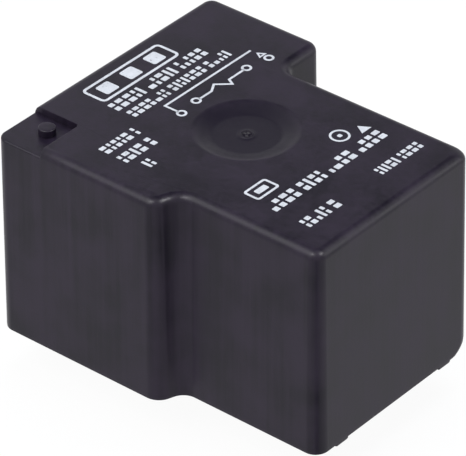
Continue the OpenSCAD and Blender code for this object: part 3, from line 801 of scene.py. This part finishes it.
steepest = math.pi / 2 + loop_back
out_x = loop_r * (math.sin(steepest) - math.sin(swing))
back_x = loop_r * (1 - math.sin(steepest)) + loop_back_l * math.sin(loop_back)
start_x = hinge[0] + leaf_t / 2 - out_x + back_x
flap_l = flap_reach + start_x - hinge[0]
flap_z = hinge[2] + flap_up / math.cos(swing) + (hinge[0] - start_x) * math.tan(swing)
leaf_line = walk(
    [(flap_l, swing - steepest, loop_r), (loop_back_l, loop_back, loop_r), (leaf_down - 2 * loop_r, 0, 0)],
    (start_x - flap_l * math.cos(swing), flap_z + flap_l * math.sin(swing)), -swing,
)
print("points along the leaf:", len(leaf_line))

# %% Hinge leaf
section = rounded_box((0, 0), leaf_t, leaf_w, leaf_edge_r)[::-1]
leaf_rings = np.stack([
    leaf_line[:, None, 0] - section[None, :, 0] * np.sin(leaf_line[:, None, 2]),
    np.broadcast_to(hinge[1] + section[None, :, 1], (len(leaf_line), len(section))),
    leaf_line[:, None, 1] + section[None, :, 0] * np.cos(leaf_line[:, None, 2]),
], axis=-1)
strip = Shell()
strip.rings(leaf_rings)
for end, order in ((0, -1), (-1, 1)):
    middle = np.broadcast_to(leaf_rings[end].mean(axis=0), leaf_rings[end].shape)
    strip.rings([leaf_rings[end], middle][::order])
leaf = strip.make("hinge_spring_leaf", None)
low, high = (np.array(corner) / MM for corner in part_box("hinge_leaf"))
print("leaf's box:", np.round(leaf_rings.min(axis=(0, 1)), 2), np.round(leaf_rings.max(axis=(0, 1)), 2))
print("CAD model's box of it:", np.round(low, 2), np.round(high, 2))
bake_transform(leaf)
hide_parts("hinge_leaf")

# %% [markdown]
# ## Finishes
#
# Every finish is worked out from the place on the piece, in metres, so a pattern keeps its real size. Two
# effects are shared by several materials, so each is a node group: the grain of moulded plastic, and the fine
# lines of rolled or plated metal. A group only puts out heights and masks that vary over the surface. The
# shader stays in the material, and a value that is the same everywhere is set on the shader itself.

# %% Node helpers
fine_depth, ripple_depth = 0.01 * MM, 0.2 * MM


def add(tree, kind, **settings):
    """A new node with its settings."""
    node = tree.nodes.new(kind)
    for name, value in settings.items():
        setattr(node, name, value)
    return node


def noise(tree, place, scale, detail, roughness=0.5):
    """Smooth noise at a number of features per metre: puts out values around one half."""
    node = add(tree, "ShaderNodeTexNoise")
    node.inputs["Detail"].default_value = detail
    node.inputs["Roughness"].default_value = roughness
    if isinstance(scale, (int, float)):
        node.inputs["Scale"].default_value = scale
    else:
        tree.links.new(scale, node.inputs["Scale"])
    tree.links.new(place, node.inputs["Vector"])
    return node.outputs["Fac"]


def spread(tree, value, low, high, to_low, to_high):
    """Maps low..high to to_low..to_high along a straight line, held at its ends."""
    node = add(tree, "ShaderNodeMapRange", clamp=True)
    for name, number in zip(("From Min", "From Max", "To Min", "To Max"), (low, high, to_low, to_high)):
        node.inputs[name].default_value = number
    tree.links.new(value, node.inputs["Value"])
    return node.outputs["Result"]


def stretched(tree, place, stretch):
    """The place times a vector, which draws a pattern out along the directions where the vector is small."""
    node = add(tree, "ShaderNodeVectorMath", operation="MULTIPLY")
    tree.links.new(place, node.inputs[0])
    if isinstance(stretch, tuple):
        node.inputs[1].default_value = stretch
    else:
        tree.links.new(stretch, node.inputs[1])
    return node.outputs["Vector"]


def calculate(tree, operation, a, b):
    """One calculation with two values: each is a number or another node's output."""
    node = add(tree, "ShaderNodeMath", operation=operation)
    for socket, value in zip(node.inputs, (a, b)):
        if isinstance(value, (int, float)):
            socket.default_value = value
        else:
            tree.links.new(value, socket)
    return node.outputs["Value"]


def new_group(name, inputs, outputs):
    """A shader node group with named sockets. Returns it with its input and output nodes."""
    group = bpy.data.node_groups.new(name, "ShaderNodeTree")
    for socket, kind in inputs:
        group.interface.new_socket(name=socket, in_out="INPUT", socket_type=kind)
    for socket in outputs:
        group.interface.new_socket(name=socket, in_out="OUTPUT", socket_type="NodeSocketFloat")
    return group, group.nodes.new("NodeGroupInput"), group.nodes.new("NodeGroupOutput")


# %% Grain of moulded plastic
draw_line_scale, cloud_scale, drawn_upright = 1900.0, 260.0, (1.0, 1.0, 0.02)
plastic_grain, source, result = new_group(
    "moulded_grain",
    [("Place", "NodeSocketVector"), ("Grain per metre", "NodeSocketFloat"), ("Streaks", "NodeSocketFloat")],
    ["Height", "Mottle"],
)
place = source.outputs["Place"]
draw_lines = noise(plastic_grain, stretched(plastic_grain, place, drawn_upright), draw_line_scale, 3.0, 0.6)
grain = noise(plastic_grain, place, source.outputs["Grain per metre"], 3.0, 0.6)
from_mean = calculate(plastic_grain, "SUBTRACT", draw_lines, 0.5)
lines = calculate(plastic_grain, "MULTIPLY", from_mean, source.outputs["Streaks"])
plastic_grain.links.new(calculate(plastic_grain, "ADD", grain, lines), result.inputs["Height"])
cloudy = noise(plastic_grain, place, cloud_scale, 3.0)
plastic_grain.links.new(calculate(plastic_grain, "ADD", cloudy, lines), result.inputs["Mottle"])

# %% Lines and tarnish of worked metal
tarnish_scale = 420.0
metal_lines, source, result = new_group(
    "worked_metal",
    [("Place", "NodeSocketVector"), ("Stretch", "NodeSocketVector"), ("Lines per metre", "NodeSocketFloat")],
    ["Height", "Tarnish"],
)
drawn_out = stretched(metal_lines, source.outputs["Place"], source.outputs["Stretch"])
fine_lines = noise(metal_lines, drawn_out, source.outputs["Lines per metre"], 3.0, 0.6)
metal_lines.links.new(fine_lines, result.inputs["Height"])
tarnish = noise(metal_lines, source.outputs["Place"], tarnish_scale, 4.0, 0.6)
metal_lines.links.new(tarnish, result.inputs["Tarnish"])
print("node groups:", [group.name for group in bpy.data.node_groups])


# %% Material helpers
def new_material(name):
    """A material with only a shader and its output. Returns it, its tree, its shader and the place on the
    piece."""
    material = bpy.data.materials.new(name)
    material.use_nodes = True
    tree = material.node_tree
    tree.nodes.clear()
    shader = add(tree, "ShaderNodeBsdfPrincipled")
    tree.links.new(shader.outputs["BSDF"], add(tree, "ShaderNodeOutputMaterial").inputs["Surface"])
    return material, tree, shader, add(tree, "ShaderNodeTexCoord").outputs["Object"]


def use_group(tree, group, place, **values):
    """Places a node group in a material, with the material's own values on its other inputs."""
    node = add(tree, "ShaderNodeGroup", node_tree=group)
    tree.links.new(place, node.inputs["Place"])
    for name, value in values.items():
        node.inputs[name.replace("_", " ")].default_value = value
    return node


def two_tones(tree, mask, tone_a, tone_b):
    """A colour between two tones, after a mask."""
    node = add(tree, "ShaderNodeMix", data_type="RGBA")
    node.inputs["A"].default_value = (*tone_a, 1)
    node.inputs["B"].default_value = (*tone_b, 1)
    tree.links.new(mask, node.inputs["Factor"])
    return node.outputs["Result"]


def relief(tree, shader, height, strength, depth):
    """Feeds a height through a Bump node into the shader's normal. The depth is in metres."""
    bump = add(tree, "ShaderNodeBump")
    bump.inputs["Strength"].default_value = strength
    bump.inputs["Distance"].default_value = depth
    tree.links.new(height, bump.inputs["Height"])
    tree.links.new(bump.outputs["Normal"], shader.inputs["Normal"])


# %% [markdown]
# ## Moulded plastics
#
# The case is a glass filled plastic, and the filler gives its skin a faint grain and cloudy patches. The
# mould leaves fine upright lines on the walls as it draws off. A picture of plastic would be stretched at the
# round edges, while noise that is worked out from the place has the same scale all over. The patches drive
# both the tone and the roughness, because on the real skin a paler patch is also a duller one.

# %% Plastics
def moulded(name, tones, roughness, grain, streaks, strength, specular):
    """Moulded plastic: two near tones, a roughness that follows the mottle, and grain with faint draw
    lines."""
    material, tree, shader, place = new_material(name)
    texture = use_group(tree, plastic_grain, place, Grain_per_metre=grain, Streaks=streaks)
    mottle = texture.outputs["Mottle"]
    colour = two_tones(tree, spread(tree, mottle, 0.3, 0.7, 0, 1), *tones)
    tree.links.new(colour, shader.inputs["Base Color"])
    tree.links.new(spread(tree, mottle, 0.3, 0.7, *roughness), shader.inputs["Roughness"])
    shader.inputs["Specular IOR Level"].default_value = specular
    relief(tree, shader, texture.outputs["Height"], strength, fine_depth)
    return material


case_plastic = moulded(
    "case_plastic", ((0.004, 0.0025, 0.0075), (0.012, 0.008, 0.0175)), (0.33, 0.43),
    grain=6000.0, streaks=0.8, strength=0.5, specular=0.22,
)
base_plastic = moulded(
    "base_plastic", ((0.012, 0.012, 0.013), (0.018, 0.018, 0.02)), (0.4, 0.55),
    grain=5000.0, streaks=0.3, strength=0.35, specular=0.4,
)
bobbin_plastic = moulded(
    "bobbin_plastic", ((0.60, 0.55, 0.43), (0.70, 0.66, 0.55)), (0.38, 0.5),
    grain=4200.0, streaks=0.4, strength=0.3, specular=0.45,
)
print("plastics:", [plastic.name for plastic in (case_plastic, base_plastic, bobbin_plastic)])

# %% [markdown]
# ## Painted shade in the dish
#
# The dish's base colour is darkened as painted shade of the recess, and its roughness is raised. A painted
# mask could carry it, but the dish is round, so its distance from an upright axis says all there is to say.
# The mask is one over the dish and falls to nothing at its edge, along a straight line of that distance.

# %% Painted shade in the dish
# The first value is the painted shade laid over the dish, the second the added roughness, the third the width
# of the fade.
dish_painted_shade, dish_duller, dish_fade = (0.0032, 0.0016, 0.0072), 0.08, 0.9
tree = case_plastic.node_tree
shader = tree.nodes["Principled BSDF"]
flat_place = stretched(tree, tree.nodes["Texture Coordinate"].outputs["Object"], (1.0, 1.0, 0.0))
from_axis = add(tree, "ShaderNodeVectorMath", operation="DISTANCE")
tree.links.new(flat_place, from_axis.inputs[0])
from_axis.inputs[1].default_value = (*(dish_centre * MM), 0)
in_dish = spread(tree, from_axis.outputs["Value"], (dish_r - dish_fade) * MM, dish_r * MM, 1, 0)

plain_roughness = shader.inputs["Roughness"].links[0].from_socket
duller = calculate(tree, "ADD", plain_roughness, calculate(tree, "MULTIPLY", in_dish, dish_duller))
tree.links.new(duller, shader.inputs["Roughness"])

# Over the dish the base colour is mixed towards the painted shade.
plain_colour = shader.inputs["Base Color"].links[0].from_socket
dish_shaded_colour = add(tree, "ShaderNodeMix", data_type="RGBA")
tree.links.new(plain_colour, dish_shaded_colour.inputs["A"])
dish_shaded_colour.inputs["B"].default_value = (*dish_painted_shade, 1)
tree.links.new(in_dish, dish_shaded_colour.inputs["Factor"])
tree.links.new(dish_shaded_colour.outputs["Result"], shader.inputs["Base Color"])
print("nodes of the case's plastic:", len(tree.nodes))

# %% [markdown]
# ## Resin and ink
#
# Poured resin sets with a gloss, slow ripples and a thin, uneven haze. Ink is the other way round: dull, with
# a fine tooth, a little thin in places and missing in specks. Neither shares its pattern with another
# material, so each is written out in its own material and needs no group.

# %% Resin
resin_tones, resin_roughness = ((0.008, 0.008, 0.009), (0.014, 0.014, 0.016)), (0.10, 0.32)
resin_black, tree, shader, place = new_material("seal_resin")
ripple = noise(tree, place, 190.0, 2.0)
dull = noise(tree, place, 700.0, 4.0)
tree.links.new(two_tones(tree, dull, *resin_tones), shader.inputs["Base Color"])
tree.links.new(spread(tree, dull, 0.3, 0.75, *resin_roughness), shader.inputs["Roughness"])
relief(tree, shader, ripple, 0.6, ripple_depth)
print("resin's roughness, from clear to hazy:", resin_roughness)

# %% Ink
ink_tones, ink_roughness = ((0.53, 0.545, 0.575), (0.18, 0.185, 0.195)), (0.55, 0.42)
ink_white, tree, shader, place = new_material("printed_ink")
worn = spread(tree, noise(tree, place, 5200.0, 3.0, 0.65), 0.60, 0.72, 0, 1)
thin = spread(tree, noise(tree, place, 900.0, 2.0), 0.35, 0.75, 0, 0.25)
bare = calculate(tree, "MAXIMUM", worn, thin)
tree.links.new(two_tones(tree, bare, *ink_tones), shader.inputs["Base Color"])
tree.links.new(spread(tree, bare, 0, 1, *ink_roughness), shader.inputs["Roughness"])
relief(tree, shader, noise(tree, place, 9000.0, 2.0), 0.3, fine_depth)
shader.inputs["Specular IOR Level"].default_value = 0.3
print("ink's roughness, from whole to worn:", ink_roughness)

# %% [markdown]
# ## Metals
#
# Plated iron, tinned copper, spring strip and silver differ in colour, but all of them were rolled, drawn or
# turned, which leaves fine lines, and all of them tarnish in patches. So one function makes them all with the
# shared group, and a table gives each its own tones, roughness, direction, number of lines and depth.

# %% Metals
along_x, along_z, even = (0.04, 1.0, 1.0), (1.0, 1.0, 0.04), (1.0, 1.0, 1.0)


def worked(name, tones, roughness, stretch, lines, strength, coat=0.0):
    """Rolled, drawn or plated metal: fine lines along the direction where the stretch is small, and
    tarnish."""
    material, tree, shader, place = new_material(name)
    texture = use_group(tree, metal_lines, place, Stretch=stretch, Lines_per_metre=lines)
    tarnish = texture.outputs["Tarnish"]
    colour = two_tones(tree, spread(tree, tarnish, 0.35, 0.7, 0, 1), *tones)
    tree.links.new(colour, shader.inputs["Base Color"])
    tree.links.new(spread(tree, tarnish, 0.3, 0.75, *roughness), shader.inputs["Roughness"])
    relief(tree, shader, texture.outputs["Height"], strength, fine_depth)
    shader.inputs["Metallic"].default_value = 1.0
    shader.inputs["Coat Weight"].default_value = coat
    return material


metals = {
    "core": (
        "plated_core", ((0.50, 0.50, 0.49), (0.38, 0.38, 0.38)), (0.25, 0.42), even, 3000.0, 0.3),
    "yoke": (
        "plated_yoke", ((0.52, 0.52, 0.50), (0.40, 0.40, 0.40)), (0.24, 0.42), along_z, 3500.0, 0.35),
    "armature": (
        "plated_armature", ((0.52, 0.52, 0.50), (0.41, 0.41, 0.40)), (0.24, 0.4), along_x, 3500.0, 0.35),
    "com_terminal": (
        "tinned_strip", ((0.66, 0.65, 0.62), (0.52, 0.50, 0.46)), (0.2, 0.4), along_z, 2600.0, 0.3),
    "contact_blade": (
        "spring_blade", ((0.72, 0.44, 0.22), (0.58, 0.34, 0.16)), (0.2, 0.38), along_x, 4000.0, 0.3),
    "fixed_contact": (
        "contact_silver", ((0.82, 0.81, 0.77), (0.66, 0.64, 0.58)), (0.18, 0.36), even, 2500.0, 0.25),
    "backstop": (
        "zinc_plate", ((0.60, 0.60, 0.60), (0.48, 0.49, 0.50)), (0.26, 0.44), along_z, 3200.0, 0.3),
    "coil_pin_1": (
        "tinned_pin", ((0.72, 0.71, 0.68), (0.55, 0.54, 0.51)), (0.16, 0.36), along_z, 1800.0, 0.35),
    "coil_lead_1": (
        "enamelled_wire", ((0.66, 0.25, 0.10), (0.50, 0.17, 0.07)), (0.25, 0.4), even, 2000.0, 0.2, 0.6),
}
finishes = {node: worked(*values) for node, values in metals.items()}
print("metals:", len(metals))

# %% Finishes on the pieces
same_finish = {
    "no_terminal": "com_terminal", "moving_contact": "fixed_contact", "coil_pin_2": "coil_pin_1",
    "coil_lead_2": "coil_lead_1", "yoke_rivets": "backstop", "armature_rivets": "backstop",
}
finishes.update({node: finishes[like] for node, like in same_finish.items()})
finishes.update({"base": base_plastic, "bobbin": bobbin_plastic})
for node, material in finishes.items():
    mesh = frame["nodes"][node].data
    mesh.materials.clear()
    mesh.materials.append(material)
new_pieces = (
    (cover, case_plastic), (printed, ink_white), (seal, resin_black),
    (winding, finishes["coil_lead_1"]), (leaf, finishes["contact_blade"]),
)
for piece, material in new_pieces:
    piece.data.materials.append(material)
print("finished pieces:", len(finishes) + len(new_pieces))

# %% [markdown]
# ## Floor and world
#
# The photo was taken on a white ground that is so bright that it has no tone of its own. A black plastic case
# shows little of its own colour: what the camera sees on it is mostly the white studio, weakly reflected. So
# the world and the floor are plain white for what is seen directly, in a reflection or through glass, and a
# plain grey light for everything else. The floor mixes in some ordinary white paint, so the object still has
# a soft shadow. More light on a grey floor would whiten it as well, but it would also wash out the object.

# %% World
studio = bpy.data.worlds.new("white_studio")
studio.use_nodes = True
tree = studio.node_tree
tree.nodes.clear()


def seen_directly(tree):
    """One for rays from the camera, in reflections and through glass, and nothing for the rest."""
    path = add(tree, "ShaderNodeLightPath")
    seen = calculate(tree, "MAXIMUM", path.outputs["Is Camera Ray"], path.outputs["Is Glossy Ray"])
    return calculate(tree, "MAXIMUM", seen, path.outputs["Is Transmission Ray"])


def mix_shaders(tree, share, first, second, output):
    """Mixes two shaders after a share, where one gives the second."""
    node = add(tree, "ShaderNodeMixShader")
    tree.links.new(share, node.inputs["Fac"])
    tree.links.new(first, node.inputs[1])
    tree.links.new(second, node.inputs[2])
    tree.links.new(node.outputs["Shader"], output)


white_light, grey_light = add(tree, "ShaderNodeBackground"), add(tree, "ShaderNodeBackground")
white_light.inputs["Color"].default_value = (1, 1, 1, 1)
grey_light.inputs["Color"].default_value = (0.25, 0.25, 0.26, 1)
mix_shaders(
    tree, seen_directly(tree), grey_light.outputs["Background"], white_light.outputs["Background"],
    add(tree, "ShaderNodeOutputWorld").inputs["Surface"],
)
bpy.context.scene.world = studio
print("world:", studio.name)

# %% Floor
floor_z, floor_half, floor_glow = cad_box[0][2] / MM, 3000.0, 0.94
floor_mesh = bpy.data.meshes.new("floor")
floor_mesh.from_pydata((level(square * floor_half, floor_z) * MM).tolist(), [], [[0, 1, 2, 3]])
floor = bpy.data.objects.new("floor", floor_mesh)
bpy.context.scene.collection.objects.link(floor)

floor_white = bpy.data.materials.new("floor_white")
floor_white.use_nodes = True
floor_white.cycles.emission_sampling = "NONE"
tree = floor_white.node_tree
tree.nodes.clear()
paint, glow = add(tree, "ShaderNodeBsdfDiffuse"), add(tree, "ShaderNodeEmission")
paint.inputs["Color"].default_value = (0.95, 0.95, 0.95, 1)
mix_shaders(
    tree, calculate(tree, "MULTIPLY", seen_directly(tree), floor_glow),
    paint.outputs["BSDF"], glow.outputs["Emission"],
    add(tree, "ShaderNodeOutputMaterial").inputs["Surface"],
)
floor_mesh.materials.append(floor_white)
print("floor's height:", round(floor_z, 2), "mm")

# %% [markdown]
# ## Lamps and cards
#
# On black plastic a lamp is seen more than it lights, so most of these draw a reflection where the photo has
# one. The wide edge light on the left draws the light line along the upper edges. Two small lamps make the
# bright spots where those edges meet at a corner, and act only in reflections. The end light brightens the
# wall of the narrow end. The fill light and the sky light are the opposite: they are left out of reflections,
# so they light only the plastic's own colour.
#
# Grey cards take reflections away. One above and behind keeps the top darker than the walls, a low one
# behind darkens the near wall of the dish, and a narrow wedge on the floor draws the dark line down the front
# corner. They cast no shadow, and the camera doesn't see them.


# %% Lamps
def facing(towards, distance):
    """The place and turn of a flat thing that stands in a direction from the case and faces its middle."""
    towards = np.array(towards) / np.linalg.norm(towards)
    across = np.cross([0, 0, 1], towards)
    across /= np.linalg.norm(across)
    pose = np.eye(4)
    pose[:3, :3] = np.array([across, np.cross(towards, across), towards]).T
    pose[:3, 3] = (towards * distance + [0, 0, top_z / 2]) * MM
    return Matrix(pose.tolist())


def softbox(name, towards, distance, width, height, radiance, colour=(1, 1, 1)):
    """A soft lamp that faces the middle of the case. Its power is pi times its area times its radiance."""
    lamp = bpy.data.lights.new(name, "AREA")
    lamp.color = colour
    lamp.shape = "RECTANGLE"
    lamp.size, lamp.size_y = width * MM, height * MM
    lamp.energy = math.pi * width * height * MM**2 * radiance
    box = bpy.data.objects.new(name, lamp)
    box.matrix_world = facing(towards, distance)
    box.visible_camera = False
    bpy.context.scene.collection.objects.link(box)
    return box


lamp_sizes = {
    "edge_light": ((-0.26, -0.60, 0.68), 320, 300, 250, 3.3),
    "corner_light": ((0.66, 0.15, 0.72), 320, 80, 80, 38.0),
    "near_corner_light": ((0.04, -0.62, 0.78), 320, 70, 70, 28.0),
    "end_light": ((0.76, 0.62, 0.24), 320, 160, 140, 2.6),
    "fill_light": ((0.62, -0.66, 0.30), 500, 400, 250, 3.2),
    "sky_light": ((0.0, 0.3, 1.0), 400, 300, 300, 5.0, (0.85, 0.90, 1.0)),
}
lamps = {name: softbox(name, *values) for name, values in lamp_sizes.items()}
for name in ("fill_light", "sky_light"):
    lamps[name].visible_glossy = False
for name in ("corner_light", "near_corner_light"):
    lamps[name].visible_diffuse = False
bpy.context.scene.view_settings.view_transform = "Standard"
print("lamps:", list(lamps))

# %% Grey cards
card_tone, card_lift = 0.16, 0.1
card_grey = bpy.data.materials.new("card_grey")
card_grey.use_nodes = True
shader = card_grey.node_tree.nodes["Principled BSDF"]
shader.inputs["Base Color"].default_value = (card_tone, card_tone, card_tone, 1)
shader.inputs["Roughness"].default_value = 0.9


def grey_card(name, line):
    """A card that the camera doesn't see, from its four corners in millimetres."""
    mesh = bpy.data.meshes.new(name)
    mesh.from_pydata((line * MM).tolist(), [], [[0, 1, 2, 3]])
    mesh.materials.append(card_grey)
    card = bpy.data.objects.new(name, mesh)
    card.visible_camera = False
    card.visible_diffuse = False
    card.visible_shadow = False
    bpy.context.scene.collection.objects.link(card)
    return card


upper_half, upper_shift, upper_way = [59, 60], [-15, 24], (-0.36, 0.76, 1.02)
upper_card = grey_card("upper_card", level(square * upper_half + upper_shift, 0))
upper_card.matrix_world = facing(upper_way, 130)
back_half, back_way = [150, 10], (-0.65, 0.76, 0.08)
back_card = grey_card("back_card", level(square * back_half, 0))
back_card.matrix_world = facing(back_way, 200)
wedge_ahead, wedge_across = (0.76, -0.65), (0.65, 0.76)
wedge = np.array([[2, -0.8], [48, -12], [48, 12], [2, 0.8]]) @ np.array([wedge_ahead, wedge_across])
floor_card = grey_card("floor_card", level(wedge + [half_l, stem_low_y], floor_z + card_lift))
print("cards:", [card.name for card in (upper_card, back_card, floor_card)])
